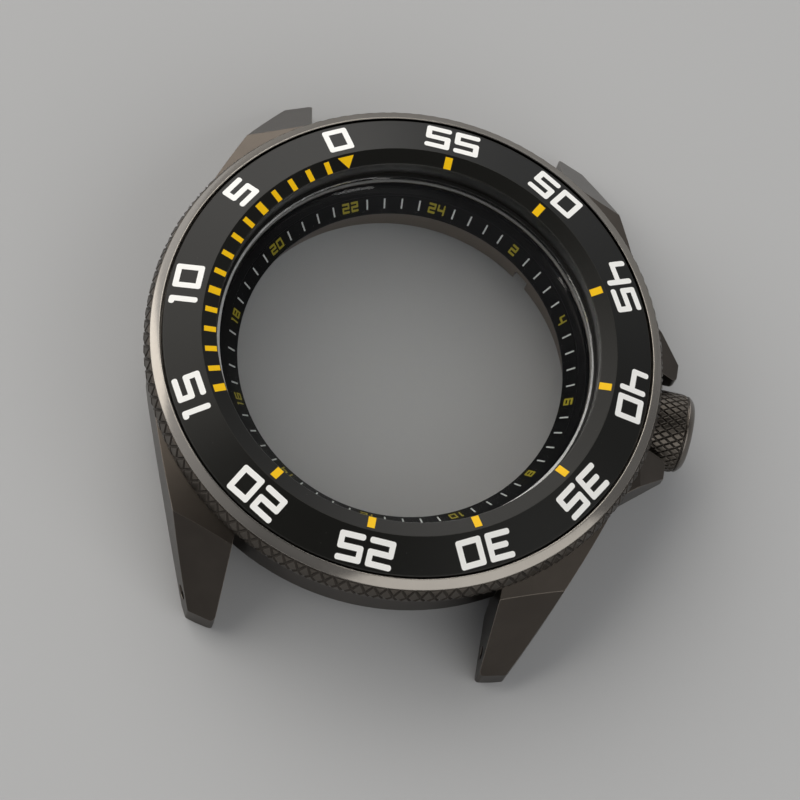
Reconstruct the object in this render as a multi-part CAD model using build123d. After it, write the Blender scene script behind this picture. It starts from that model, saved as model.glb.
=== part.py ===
from build123d import *
import os
from math import atan2, cos, pi, radians, sin, sqrt, tan

# Empty steel watch case with a turning bezel, a flat glass and a screw-down crown.
# The case axis is Z. The origin is the centre of the back opening in the plane of the
# back rim, +Y points to 12 o'clock and +X to the crown. All lengths are millimetres.

# Working allowances
overrun = 1.0             # how far every cutter runs past the face that it opens
running_gap = 0.05        # radial gap of a shaft or ring that turns
ring_gap = 0.03           # radial gap of the inner ring in its bore

# Glass and the bores under it, each as wide as the one above it allows
crystal_radius = 15.75
crystal_gasket_wall = 0.35
crystal_ledge = 0.15      # the glass reaches this far over the inner ring
chapter_ledge = 1.0       # ledge that the inner ring stands on
back_ledge = 2.4          # the screw back's bore is this much wider than the movement's
back_bore_depth = 1.3     # screw-back thread, drawn as a plain bore
movement_bore_depth = 3.8
holder_notch_radius = 0.8  # round notch in the movement's bore for its holding screw
holder_notch_inset = 0.35  # axis of the notch behind the wall of the bore
holder_notch_depth = 1.2
holder_notch_azimuth = 51.0  # degrees

# Glass, inner ring and their heights
chapter_height = 2.05
chapter_play = 0.2        # gap between the inner ring and the glass
crystal_thickness = 2.0
crystal_top_bevel = 0.2
crystal_foot_bevel = 0.12
crystal_gasket_drop = 0.3  # top of the gasket below the top of the glass
neck_drop = 0.05           # top of the neck below the top of the glass

crystal_bore_radius = crystal_radius + crystal_gasket_wall
chapter_bore_radius = crystal_radius - crystal_ledge
movement_bore_radius = chapter_bore_radius - chapter_ledge
back_bore_radius = movement_bore_radius + back_ledge
chapter_seat_z = back_bore_depth + movement_bore_depth
crystal_seat_z = chapter_seat_z + chapter_height + chapter_play
crystal_top_z = crystal_seat_z + crystal_thickness
neck_top_z = crystal_top_z - neck_drop

# Neck that the bezel turns on, and the ledge under the bezel
neck_wall = 1.2           # between the glass bore and the bezel
neck_height = 1.5         # above the ledge
neck_undercut = 0.35
bezel_width = 4.4         # of the bezel, from the neck out to its grip
deck_setback = 0.5        # edge of the ledge inside the grip of the bezel
shoulder_slope = 16.7     # degrees, the shoulder falls outwards from the ledge
bezel_lift = 0.15         # gap between the bezel and the ledge
snap_height = 0.25        # inward lip of the bezel that snaps under the neck
snap_play = 0.06
gasket_groove_rise = 0.24  # above the lower edge of the neck's rim
gasket_groove_height = 0.5
gasket_groove_depth = 0.45
bezel_gasket_thickness = 0.44
bezel_gasket_gap = 0.02

neck_radius = crystal_bore_radius + neck_wall
neck_root_radius = neck_radius - neck_undercut
bezel_radius = neck_radius + bezel_width
deck_radius = bezel_radius - deck_setback
deck_height = neck_top_z - neck_height
bezel_foot_z = deck_height + bezel_lift
snap_top_z = bezel_foot_z + snap_height
neck_rim_z = snap_top_z + snap_play
gasket_groove_z = neck_rim_z + gasket_groove_rise

# Case body and lugs
strap_gap = 22.1          # between the lugs of a pair, for a 22 mm strap
body_setback = 0.35       # wall between the lugs inside the edge of the ledge
flank_stand = 0.05        # flank at 9 o'clock beyond that wall
lug_length = 3.3          # tip of a lug beyond that wall
flank_bend_shares = (0.923, 0.391)  # of the half width and of the reach of the lugs
flank_bulge = 0.4
lug_flank_bulge = 0.3
lug_tip_width = 2.3
lug_tip_setback = 0.7     # outer corner of the tip behind its inner corner
lug_tip_rounding = 0.3
lug_foot_drop = 0.5       # lug feet below the back rim
lug_foot_stand = 0.35     # the feet start this far outside the wall between the lugs
lug_root_inset = 0.15     # and run into the body this far inside it
lug_root_height = 1.1
belt_height = 4.5         # widest line of the flanks
flank_draw = 1.7          # draw-in of the flanks at the back rim
lug_flank_draw = 0.95     # draw-in of a lug's foot where the flank bends
lug_draw_share = 0.86     # of the way to the tip, where that draw-in ends
wall_belt_height = 3.5    # lower edge of the wall between the lugs
wall_draw = 1.45          # draw-in of that wall at the back rim
crease_setback = 1.45     # the crease of a lug starts this far inside the wall
facet_azimuth = 65.1      # degrees, the way the long lug facet faces
facet_elevation = 36.9    # degrees, how far that facet faces up
tip_chamfer = 0.45
spring_bar_hole_radius = 0.6
spring_bar_setback = 2.2  # from the tip of the lug
spring_bar_height = 1.8   # above the lug feet

body_radius = deck_radius - body_setback
half_width = body_radius + flank_stand
lug_reach = body_radius + lug_length
lug_to_lug = lug_reach * 2
lug_inner_x = strap_gap / 2
lug_foot_radius = body_radius + lug_foot_stand
lug_root_radius = body_radius - lug_root_inset
back_rim_half_width = half_width - flank_draw
back_rim_radius = body_radius - wall_draw
crease_reach = body_radius - crease_setback

# Crown, its tube and the guards
crown_height = 3.5        # crown axis above the back rim
crown_radius = 3.36
crown_length = 3.97
crown_spot_inset = 0.3    # flat behind the crown inside the flank
crown_skirt_gap = 0.65    # from that flat to the back face of the crown
crown_end_chamfer = 0.52
crown_taper_length = 1.2  # the outer end of the rim tapers a little
crown_taper = 0.08
crown_grip_count = 36
crown_grip_depth = 0.16
guard_gap = 7.32          # between the two guards
guard_stand = 2.45        # outer face of the guards beyond the flank
guard_corner = 0.5        # rounded corner beside the crown
guard_face_length = 1.1   # flat outer face of a guard
guard_root_shares = (0.96, 0.335)  # where a guard meets the flank, as the flank's shares
guard_foot_height = 1.2
guard_edge_height = 4.5   # widest line of a guard
guard_taper = 28.0        # degrees, the guard draws in below that line
guard_facet_width = 1.85  # sloping guard top, inwards from the outer face
guard_facet_drop = 0.6    # inner edge of that top below the ledge of the bezel
guard_facet_angle = 40.7  # degrees down

tube_press_radius = 1.55  # part of the tube pressed into the case
tube_thread_radius = 1.95
tube_bore_radius = 1.45
tube_seat_depth = 1.8     # the tube ends this far behind the movement's bore
tube_stand = 2.3          # the tube stands out from the flat by this much
stem_hole_radius = 1.2
thread_gap = 0.05
crown_gasket_thickness = 0.25
crown_gasket_gap = 0.05
crown_pipe_length = 2.8
crown_pipe_bore = 1.0
crown_end_wall = 0.5
o_ring_thickness = 0.28
o_ring_gap = 0.02
o_ring_groove_depth = 0.3
o_ring_inset = 0.9        # from the inner end of the pipe to the groove
bush_length = 0.5
post_radius = 0.65
post_flange_radius = 0.95
post_flange_length = 0.5
post_setback = 0.8        # the post ends this far behind the movement's bore
post_gap = 0.05
stem_thread_radius = 0.35
stem_thread_depth = 2.5
crown_thread_pitch = 0.35
crown_thread_turns = 3.5
spring_wire = 0.16
spring_coils = 3.5

crown_spot_x = half_width - crown_spot_inset
crown_skirt_x = crown_spot_x + crown_skirt_gap
crown_end_x = crown_skirt_x + crown_length
guard_reach = half_width + guard_stand
guard_facet_x = guard_reach - guard_facet_width
guard_facet_z = deck_height - guard_facet_drop
tube_inner_x = movement_bore_radius + tube_seat_depth
tube_outer_x = crown_spot_x + tube_stand
post_inner_x = movement_bore_radius + post_setback
crown_lift = crown_thread_pitch * crown_thread_turns
crown_pipe_radius = tube_bore_radius - running_gap
crown_gasket_x = tube_outer_x + crown_gasket_gap
crown_pipe_root_x = crown_gasket_x + crown_gasket_thickness
crown_pipe_end_x = crown_pipe_root_x - crown_pipe_length
crown_floor_x = crown_end_x - crown_end_wall
post_flange_x = crown_pipe_end_x + bush_length + crown_lift + post_gap

# Bezel ring
bezel_foot_chamfer = 0.15
grip_shoulder_height = 1.3   # top of the upright grip above the bezel's foot
grip_draw = 0.32             # draw-in of the sloping grip
grip_step = 0.08             # top of the grip under the foot of the polished chamfer
chamfer_step = 0.06          # and outside that foot
chamfer_width = 0.62
chamfer_drop = 0.53          # foot of the chamfer under the top of the lip
lip_width = 0.17             # lip around the insert
lip_rounding = 0.08
grip_count = 120
grip_depth = 0.2
tooth_count = 120
tooth_inset = 0.9            # inner ends of the teeth outside the neck
tooth_length = 1.4
tooth_width = 0.9
tooth_depth = 0.25
tooth_apex_share = 0.22      # of the width, the steep side of a tooth

# Bezel insert with its filled numbers and marks
insert_clearance = 0.2       # insert above the neck
insert_edge_gap = 0.19       # insert inside the lip
adhesive_thickness = 0.08
adhesive_margin = 0.3
insert_edge_height = 0.95
insert_ridge_height = 1.92
insert_inner_height = 1.6
insert_edge_bevel = 0.05
lip_rise = 0.05              # lip above the edge of the insert
insert_stand = 0.2           # inner edge of the insert outside the glass
inner_band_width = 1.31
bezel_rest_turn = 27.9       # degrees, the zero stands this far before 12 o'clock
inlay_depth = 0.08
inlay_proud = 0.02
number_inset = 1.68          # middle of the numbers inside the lip
number_height = 2.3
digit_width = 2.13
digit_gap = 0.36
digit_stroke = 0.47
digit_rounding = 0.2
mark_inset = 0.57            # middle of the marks outside the insert's inner edge
mark_length = 1.0
minute_mark_width = 0.45
five_mark_width = 0.62
triangle_width = 1.4

grip_inner_radius = bezel_radius - grip_draw
chamfer_foot_radius = grip_inner_radius - chamfer_step
chamfer_top_radius = chamfer_foot_radius - chamfer_width
lip_radius = chamfer_top_radius - lip_width
tooth_inner_radius = neck_radius + tooth_inset
tooth_outer_radius = tooth_inner_radius + tooth_length
insert_inner_radius = crystal_radius + insert_stand
ridge_radius = insert_inner_radius + inner_band_width
number_radius = lip_radius - number_inset
mark_radius = insert_inner_radius + mark_inset
insert_foot_z = neck_top_z + insert_clearance
channel_floor_z = insert_foot_z - adhesive_thickness
lip_top_z = insert_foot_z + insert_edge_height + lip_rise
chamfer_foot_z = lip_top_z - chamfer_drop
grip_top_z = chamfer_foot_z - grip_step
insert_radius = lip_radius - insert_edge_gap
bezel_bore_radius = neck_radius + running_gap

# Inner ring with its printed ticks and hours
chapter_overhang = 0.87      # the inner ring stands in over the movement's bore
chapter_inner_height = 0.2
chapter_step_inset = 0.82    # printed face ends this far inside the ring's bore
chapter_step_height = 1.4
chapter_step = 0.06
chapter_rim_width = 0.25
chapter_rest_turn = -2.8     # degrees, the ring lies this far past 12 o'clock
print_depth = 0.03
print_proud = 0.01
tick_inset = 0.49            # middle of the ticks inside the edge of the printed face
tick_length = 0.6
tick_width = 0.13
hour_height = 0.62
hour_digit_width = 0.62
hour_digit_gap = 0.16
hour_stroke = 0.13
hour_rounding = 0.05

chapter_inner_radius = movement_bore_radius - chapter_overhang
chapter_step_radius = chapter_bore_radius - chapter_step_inset
tick_radius = chapter_step_radius - tick_inset

# Detent under the bezel
click_hole_radius = 0.55
click_hole_depth = 2.4
click_ball_radius = 0.5
click_ball_gap = 0.03        # ball under the foot of the bezel
click_azimuth = 200.0        # degrees
click_spring_radius = 0.4
click_spring_wire = 0.12
click_spring_coils = 5.0
click_spring_gap = 0.02

click_radius = (tooth_inner_radius + tooth_outer_radius) / 2
click_ball_z = bezel_foot_z - click_ball_gap - click_ball_radius
click_hole_z = deck_height - click_hole_depth

full_turn = 360


def turned(points):
    """A solid turned about the case axis from (radius, height) points."""
    profile = Plane.XZ * make_face(Polyline(*points, close=True))
    return revolve(profile, axis=Axis.Z)


def turned_on_crown(points):
    """A solid turned about the crown axis from (distance along X, radius) points."""
    raised = [(x, crown_height + radius) for x, radius in points]
    profile = Plane.XZ * make_face(Polyline(*raised, close=True))
    return revolve(profile, axis=Axis((0, 0, crown_height), (1, 0, 0)))


def ring(inner_radius, outer_radius, low_z, high_z):
    """A plain tube about the case axis."""
    return turned([(inner_radius, low_z), (outer_radius, low_z),
                   (outer_radius, high_z), (inner_radius, high_z)])


def upright_box(low_corner, high_corner):
    """A box between two opposite corners."""
    sizes = [high - low for low, high in zip(low_corner, high_corner)]
    middle = [(high + low) / 2 for low, high in zip(low_corner, high_corner)]
    return Pos(*middle) * Box(*sizes)


def bulged_arc(start, end, bulge):
    """An arc whose middle stands off its chord, away from the case axis."""
    run, rise = end[0] - start[0], end[1] - start[1]
    chord = sqrt(run * run + rise * rise)
    middle = ((start[0] + end[0]) / 2 + bulge * rise / chord,
              (start[1] + end[1]) / 2 - bulge * run / chord)
    return ThreePointArc(start, middle, end)


def flank_bend():
    """Where the flank turns from the body to the lug, seen from above."""
    return half_width * flank_bend_shares[0], lug_reach * flank_bend_shares[1]


def lug_tip():
    """Outer and inner corner of a lug's tip, seen from above."""
    outer = (lug_inner_x + lug_tip_width, lug_reach - lug_tip_setback)
    return outer, (lug_inner_x, lug_reach)


def quarter_plan():
    """A quarter of the case seen from above, with one lug."""
    bend = flank_bend()
    tip_outer, tip_inner = lug_tip()
    root = (lug_inner_x, sqrt(body_radius ** 2 - lug_inner_x ** 2))
    root_angle = atan2(root[1], root[0])
    wall_angle = (root_angle + pi / 2) / 2
    wall_middle = (body_radius * cos(wall_angle), body_radius * sin(wall_angle))
    outline = [
        Line((0, 0), (half_width, 0)),
        bulged_arc((half_width, 0), bend, flank_bulge),
        bulged_arc(bend, tip_outer, lug_flank_bulge),
        Line(tip_outer, tip_inner),
        Line(tip_inner, root),
        ThreePointArc(root, wall_middle, (0, body_radius)),
        Line((0, body_radius), (0, 0)),
    ]
    plan = make_face(outline)
    return fillet(plan.vertices().sort_by(Axis.Y)[-2:], lug_tip_rounding)


def shoulder_z(radius):
    """Height of the sloping shoulder at a radius."""
    return deck_height - (radius - deck_radius) * tan(radians(shoulder_slope))


def four_ways(solid):
    """The solid and its mirror images in all four corners of the case."""
    pair = solid + mirror(solid, about=Plane.YZ)
    return pair + mirror(pair, about=Plane.XZ)


def case_blank():
    """The plan of the case raised from the lug feet to the top of the neck."""
    quarter = extrude(quarter_plan(), neck_top_z + lug_foot_drop)
    quarter = Pos(0, 0, -lug_foot_drop) * quarter
    return four_ways(quarter)


def neck_and_shoulder_cut():
    """Everything outside the neck and above the ledge and the sloping shoulder."""
    far_radius = lug_to_lug
    groove_top_z = gasket_groove_z + gasket_groove_height
    groove_radius = neck_radius - gasket_groove_depth
    high_z = neck_top_z + overrun
    return turned([
        (neck_root_radius, deck_height),
        (deck_radius, deck_height),
        (far_radius, shoulder_z(far_radius)),
        (far_radius, high_z),
        (neck_radius, high_z),
        (neck_radius, groove_top_z),
        (groove_radius, groove_top_z),
        (groove_radius, gasket_groove_z),
        (neck_radius, gasket_groove_z),
        (neck_radius, neck_rim_z),
        (neck_root_radius, neck_rim_z),
    ])


def lug_facet_cut():
    """The long facet that slopes down each lug from the crease to the tip."""
    crease_radius = sqrt(lug_inner_x ** 2 + crease_reach ** 2)
    crease = (lug_inner_x, crease_reach, shoulder_z(crease_radius))
    facing = (cos(radians(facet_elevation)) * cos(radians(facet_azimuth)),
              cos(radians(facet_elevation)) * sin(radians(facet_azimuth)),
              sin(radians(facet_elevation)))
    facet = Plane(origin=crease, z_dir=facing)
    slab = Pos(0, 0, lug_reach / 2) * Box(lug_to_lug, lug_to_lug, lug_reach)
    slab = facet * slab
    corner = upright_box((lug_inner_x / 2, body_radius / 2, -lug_to_lug),
                         (lug_to_lug, lug_to_lug, lug_to_lug))
    return four_ways(slab & corner)


def lug_tip_cut():
    """A chamfer along the lower edge of each tip."""
    tip = Plane(origin=(lug_inner_x, lug_reach, -lug_foot_drop + tip_chamfer),
                z_dir=(0, 1, -1))
    slab = tip * (Pos(0, 0, lug_reach / 2) * Box(lug_to_lug, lug_to_lug, lug_reach))
    corner = upright_box((lug_inner_x / 2, body_radius, -lug_to_lug),
                         (lug_to_lug, lug_to_lug, lug_to_lug))
    return four_ways(slab & corner)


def lug_flank_cut():
    """The draw-in of each lug's foot, which fades out towards the tip."""
    bend = flank_bend()
    tip = lug_tip()[0]
    faded = [near + (far - near) * lug_draw_share for near, far in zip(bend, tip)]
    belt = Vector(bend[0], bend[1], belt_height)
    along = Vector(faded[0], faded[1], -lug_foot_drop) - belt
    down = Vector(bend[0] - lug_flank_draw, bend[1], -lug_foot_drop) - belt
    side = Plane(origin=belt, x_dir=along, z_dir=along.cross(down) * -1)
    slab = side * (Pos(0, 0, body_radius / 2) * Box(lug_to_lug, lug_to_lug, body_radius))
    corner = upright_box((lug_inner_x / 2, overrun, -lug_to_lug),
                         (lug_to_lug, lug_to_lug, belt_height))
    return four_ways(slab & corner)


def flank_cut():
    """The draw-in of both flanks below their widest line."""
    fall = belt_height + overrun
    draw = (half_width - back_rim_half_width) * fall / belt_height
    far_x = half_width + overrun
    side = make_face(Polyline(
        (half_width, belt_height), (half_width - draw, -overrun),
        (far_x, -overrun), (far_x, belt_height), close=True))
    wedge = extrude(Plane.XZ * side, lug_to_lug / 2, both=True)
    return wedge + mirror(wedge, about=Plane.YZ)


def wall_cut():
    """The draw-in of the wall between the lugs, at 12 and 6 o'clock."""
    fall = wall_belt_height + overrun
    draw = (body_radius - back_rim_radius) * fall / wall_belt_height
    far_radius = body_radius + overrun
    cone = turned([(body_radius, wall_belt_height), (body_radius - draw, -overrun),
                   (far_radius, -overrun), (far_radius, wall_belt_height)])
    between = upright_box((-lug_inner_x, -lug_to_lug, -lug_to_lug),
                          (lug_inner_x, lug_to_lug, lug_to_lug))
    return cone & between


def lug_root_cut():
    """The turned recess that parts the lug feet from the back of the body."""
    draw = (body_radius - back_rim_radius) / wall_belt_height
    flare = (lug_foot_radius - lug_root_radius) / (lug_root_height + lug_foot_drop)
    low_z = -lug_foot_drop - overrun
    return turned([
        (0, 0), (back_rim_radius, 0), (back_rim_radius + draw * lug_root_height,
                                       lug_root_height),
        (lug_root_radius, lug_root_height),
        (lug_foot_radius + flare * overrun, low_z), (0, low_z),
    ])


def crown_guard():
    """The guard on the 12 o'clock side of the crown."""
    inner_y = guard_gap / 2
    face_start = inner_y + guard_corner
    face_end = face_start + guard_face_length
    root = (half_width * guard_root_shares[0], lug_reach * guard_root_shares[1])
    core = (deck_radius - lug_tip_width, root[1])
    plan = make_face([
        Line((core[0], inner_y), (guard_reach - guard_corner, inner_y)),
        RadiusArc((guard_reach - guard_corner, inner_y), (guard_reach, face_start),
                  -guard_corner),
        Line((guard_reach, face_start), (guard_reach, face_end)),
        Line((guard_reach, face_end), root),
        Line(root, core),
        Line(core, (core[0], inner_y)),
    ])
    upper = Pos(0, 0, guard_edge_height) * extrude(plan, deck_height - guard_edge_height)
    lower = extrude(plan, guard_edge_height - guard_foot_height, taper=guard_taper)
    lower = Pos(0, 0, guard_edge_height) * mirror(lower, about=Plane.XY)
    return upper + lower


def guard_facet_cut():
    """The sloping top of both guards."""
    facet = Plane(origin=(guard_facet_x, 0, guard_facet_z),
                  z_dir=(sin(radians(guard_facet_angle)), 0, cos(radians(guard_facet_angle))))
    slab = facet * (Pos(0, 0, guard_reach / 2) * Box(guard_reach, guard_reach, guard_reach))
    beyond = upright_box((deck_radius - lug_tip_width, -lug_reach / 2, guard_foot_height),
                         (lug_to_lug, lug_reach / 2, lug_to_lug))
    return slab & beyond


def case_bores():
    """The stepped bore from the back opening up to the glass, as one solid."""
    return turned([
        (0, -overrun), (back_bore_radius, -overrun), (back_bore_radius, back_bore_depth),
        (movement_bore_radius, back_bore_depth), (movement_bore_radius, chapter_seat_z),
        (chapter_bore_radius, chapter_seat_z), (chapter_bore_radius, crystal_seat_z),
        (crystal_bore_radius, crystal_seat_z), (crystal_bore_radius, neck_top_z + overrun),
        (0, neck_top_z + overrun),
    ])


def crown_holes():
    """The stem hole, the hole for the tube and the flat behind the crown."""
    return turned_on_crown([
        (movement_bore_radius - overrun, 0),
        (movement_bore_radius - overrun, stem_hole_radius),
        (tube_inner_x, stem_hole_radius), (tube_inner_x, tube_press_radius),
        (crown_spot_x, tube_press_radius), (crown_spot_x, guard_gap / 2),
        (guard_reach + overrun, guard_gap / 2), (guard_reach + overrun, 0),
    ])


def spring_bar_holes():
    """The holes drilled through each pair of lugs."""
    hole = Cylinder(spring_bar_hole_radius, lug_to_lug, rotation=(0, 90, 0))
    hole_y = lug_reach - spring_bar_setback
    hole_z = spring_bar_height - lug_foot_drop
    return Pos(0, hole_y, hole_z) * hole + Pos(0, -hole_y, hole_z) * hole


def click_hole():
    """The blind hole in the ledge for the detent ball and its spring."""
    hole = Cylinder(click_hole_radius, click_hole_depth + overrun,
                    align=(Align.CENTER, Align.CENTER, Align.MIN))
    return Rot(0, 0, click_azimuth) * Pos(click_radius, 0, click_hole_z) * hole


def holder_notch():
    """The round notch in the movement's bore, open to the back."""
    notch = Cylinder(holder_notch_radius, holder_notch_depth + overrun,
                     align=(Align.CENTER, Align.CENTER, Align.MIN))
    place = Pos(movement_bore_radius + holder_notch_inset, 0, back_bore_depth - overrun)
    return Rot(0, 0, holder_notch_azimuth) * place * notch


def make_case_middle():
    """The case body: lugs, flanks, guards and neck, with all its bores."""
    body = case_blank() - lug_root_cut() - flank_cut() - lug_flank_cut() - wall_cut()
    guards = crown_guard()
    guards = guards + mirror(guards, about=Plane.XZ)
    body = body + (guards - guard_facet_cut())
    body = body - neck_and_shoulder_cut() - lug_facet_cut() - lug_tip_cut()
    body = body - case_bores() - crown_holes() - spring_bar_holes() - click_hole()
    return body - holder_notch()


def make_crystal():
    """The flat glass with its two bevels."""
    foot, top = crystal_foot_bevel, crystal_top_bevel
    return turned([
        (0, crystal_seat_z), (crystal_radius - foot, crystal_seat_z),
        (crystal_radius, crystal_seat_z + foot), (crystal_radius, crystal_top_z - top),
        (crystal_radius - top, crystal_top_z), (0, crystal_top_z),
    ])


def make_crystal_gasket():
    """The plastic ring pressed in around the glass."""
    return ring(crystal_radius, crystal_bore_radius, crystal_seat_z,
                crystal_top_z - crystal_gasket_drop)


def chapter_face():
    """The sloping printed face of the inner ring, from its inner edge to its step."""
    low = (chapter_inner_radius, chapter_seat_z + chapter_inner_height)
    high = (chapter_step_radius, chapter_seat_z + chapter_step_height)
    return low, high


def chapter_blank():
    """The inner ring before it is printed."""
    low, high = chapter_face()
    outer_radius = chapter_bore_radius - ring_gap
    top_z = chapter_seat_z + chapter_height
    return turned([
        (chapter_inner_radius, chapter_seat_z), low, high,
        (high[0], high[1] + chapter_step),
        (outer_radius - chapter_rim_width, top_z), (outer_radius, top_z),
        (outer_radius, chapter_seat_z),
    ])


def cone_skin(low, high, depth, proud):
    """A thin conical shell that runs just under and just over a sloping face."""
    run, rise = high[0] - low[0], high[1] - low[1]
    length = sqrt(run * run + rise * rise)
    out = (-rise / length, run / length)
    corners = [(low, -depth), (high, -depth), (high, proud), (low, proud)]
    return turned([(point[0] + out[0] * shift, point[1] + out[1] * shift)
                   for point, shift in corners])


def radial_bar(radius, azimuth, length, width):
    """A flat bar that lies along a radius."""
    return Rot(0, 0, azimuth) * Pos(radius, 0) * Rectangle(length, width)


# Bars of the squared digits: each is the ends of its centre line, as shares of the
# digit's width and height from its lower left corner
digit_bar_shares = {
    "0": [(0, 0, 1, 0), (0, 1, 1, 1), (0, 0, 0, 1), (1, 0, 1, 1)],
    "1": [(0.5, 0, 0.5, 1), (0.2, 1, 0.5, 1)],
    "2": [(0, 1, 1, 1), (1, 0.5, 1, 1), (0, 0.5, 1, 0.5), (0, 0, 0, 0.5), (0, 0, 1, 0)],
    "3": [(0, 1, 1, 1), (0.2, 0.5, 1, 0.5), (0, 0, 1, 0), (1, 0, 1, 1)],
    "4": [(0, 0.45, 0, 1), (0, 0.45, 1, 0.45), (1, 0, 1, 1)],
    "5": [(0, 1, 1, 1), (0, 0.5, 0, 1), (0, 0.5, 1, 0.5), (1, 0, 1, 0.5), (0, 0, 1, 0)],
    "6": [(0, 1, 1, 1), (0, 0, 0, 1), (0, 0.5, 1, 0.5), (1, 0, 1, 0.5), (0, 0, 1, 0)],
    "8": [(0, 0, 1, 0), (0, 1, 1, 1), (0, 0, 0, 1), (1, 0, 1, 1), (0, 0.5, 1, 0.5)],
}
slim_digit_share = 0.5       # width of a one beside the other digits


def digit(sign, width, height, stroke, rounding):
    """One squared digit, centred on the origin, made of rounded bars."""
    across = width - stroke
    if sign == "1":
        across = across * slim_digit_share
    up = height - stroke
    bars = Sketch()
    for x0, y0, x1, y1 in digit_bar_shares[sign]:
        bar = RectangleRounded(abs(x1 - x0) * across + stroke,
                               abs(y1 - y0) * up + stroke, rounding)
        bars += Pos(((x0 + x1) / 2 - 1 / 2) * across, ((y0 + y1) / 2 - 1 / 2) * up) * bar
    return bars


def digit_space(sign, width, stroke):
    """The width that a digit takes in a number."""
    if sign == "1":
        return (width - stroke) * slim_digit_share + stroke
    return width


def number(text, width, height, stroke, rounding, gap):
    """A number of one or two digits, centred on the origin."""
    spaces = [digit_space(sign, width, stroke) for sign in text]
    start = -(sum(spaces) + gap * (len(text) - 1)) / 2
    plate = Sketch()
    for sign, space in zip(text, spaces):
        plate += Pos(start + space / 2, 0) * digit(sign, width, height, stroke, rounding)
        start += space + gap
    return plate


def number_at(plate, radius, azimuth):
    """A number stood on a radius with its top outwards."""
    return Rot(0, 0, azimuth) * Pos(radius, 0) * Rot(0, 0, -90) * plate


def filled(plates, low, high, depth, proud):
    """Flat shapes dropped onto a sloping face, as thin solids let into it."""
    skin = cone_skin(low, high, depth, proud)
    foot_z = min(low[1], high[1]) - overrun
    rise = abs(high[1] - low[1]) + overrun * 2
    solids = []
    for plate in plates:
        column = Pos(0, 0, foot_z) * extrude(plate, rise)
        solids += (column & skin).solids()
    return Compound(solids)


def chapter_azimuth(hour_step):
    """Azimuth of a place on the inner ring, in twelfths of a turn from 12 o'clock."""
    return full_turn / 4 + chapter_rest_turn - hour_step * full_turn / 12


def make_chapter_minute_ticks():
    """The printed ticks, at every minute that has no number."""
    low, high = chapter_face()
    places = [minute / 5 for minute in range(60) if minute % 5 > 0]
    plates = [radial_bar(tick_radius, chapter_azimuth(place), tick_length, tick_width)
              for place in places]
    return filled(plates, low, high, print_depth, print_proud)


def make_chapter_hour_numerals():
    """The printed 24-hour numbers, at every second hour."""
    low, high = chapter_face()
    plates = []
    for place in range(12):
        text = str(place * 2) if place > 0 else "24"
        plate = number(text, hour_digit_width, hour_height, hour_stroke,
                       hour_rounding, hour_digit_gap)
        plates.append(number_at(plate, tick_radius, chapter_azimuth(place)))
    return filled(plates, low, high, print_depth, print_proud)


def make_chapter_ring(ticks, hours):
    """The inner ring, let in for its printed marks."""
    return chapter_blank() - ticks.solids() - hours.solids()


def insert_points():
    """Edge, ridge and inner edge of the insert's two bands."""
    edge = (insert_radius, insert_foot_z + insert_edge_height)
    ridge = (ridge_radius, insert_foot_z + insert_ridge_height)
    inner = (insert_inner_radius, insert_foot_z + insert_inner_height)
    return edge, ridge, inner


def insert_blank():
    """The insert before its numbers and marks are let in."""
    edge, ridge, inner = insert_points()
    bevel = insert_edge_bevel
    return turned([
        (insert_inner_radius, insert_foot_z), (insert_inner_radius, inner[1] - bevel),
        (insert_inner_radius + bevel, inner[1]), ridge, (insert_radius - bevel, edge[1]),
        (insert_radius, edge[1] - bevel), (insert_radius, insert_foot_z),
    ])


def bezel_azimuth(minute):
    """Azimuth of a minute on the bezel, whose numbers run against the clock."""
    return full_turn / 4 + bezel_rest_turn + minute * full_turn / 60


def make_bezel_numerals():
    """The filled numbers of the outer band, one at every fifth minute."""
    edge, ridge, inner = insert_points()
    plates = []
    for minute in range(0, 60, 5):
        plate = number(str(minute), digit_width, number_height, digit_stroke,
                       digit_rounding, digit_gap)
        plates.append(number_at(plate, number_radius, bezel_azimuth(minute)))
    return filled(plates, ridge, (insert_radius - insert_edge_bevel, edge[1]),
                  inlay_depth, inlay_proud)


def make_bezel_minute_marks():
    """The filled triangle, minute marks and five-minute marks of the inner band."""
    edge, ridge, inner = insert_points()
    triangle = Polygon((mark_length / 2, triangle_width / 2), (-mark_length / 2, 0),
                       (mark_length / 2, -triangle_width / 2), align=None)
    plates = [Rot(0, 0, bezel_azimuth(0)) * Pos(mark_radius, 0) * triangle]
    for minute in range(1, 60):
        five = minute % 5 == 0
        if five or minute < 15:
            width = five_mark_width if five else minute_mark_width
            plates.append(radial_bar(mark_radius, bezel_azimuth(minute), mark_length, width))
    return filled(plates, inner, ridge, inlay_depth, inlay_proud)


def make_bezel_insert(numerals, marks):
    """The black insert, let in for its numbers and marks."""
    return insert_blank() - numerals.solids() - marks.solids()


def make_insert_adhesive():
    """The thin adhesive ring between the insert and the bezel."""
    return ring(bezel_bore_radius + adhesive_margin, insert_radius - adhesive_margin,
                channel_floor_z, insert_foot_z)


def bezel_blank():
    """The bezel ring before its teeth and grip are cut."""
    lip_shoulder_z = lip_top_z - lip_rounding
    return turned([
        (neck_root_radius + running_gap * 2, bezel_foot_z),
        (bezel_radius - bezel_foot_chamfer, bezel_foot_z),
        (bezel_radius, bezel_foot_z + bezel_foot_chamfer),
        (bezel_radius, bezel_foot_z + grip_shoulder_height),
        (grip_inner_radius, grip_top_z),
        (chamfer_foot_radius, chamfer_foot_z),
        (chamfer_top_radius, lip_shoulder_z),
        (chamfer_top_radius - lip_rounding, lip_top_z),
        (lip_radius, lip_top_z), (lip_radius, channel_floor_z),
        (bezel_bore_radius, channel_floor_z), (bezel_bore_radius, snap_top_z),
        (neck_root_radius + running_gap * 2, snap_top_z),
    ])


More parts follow.
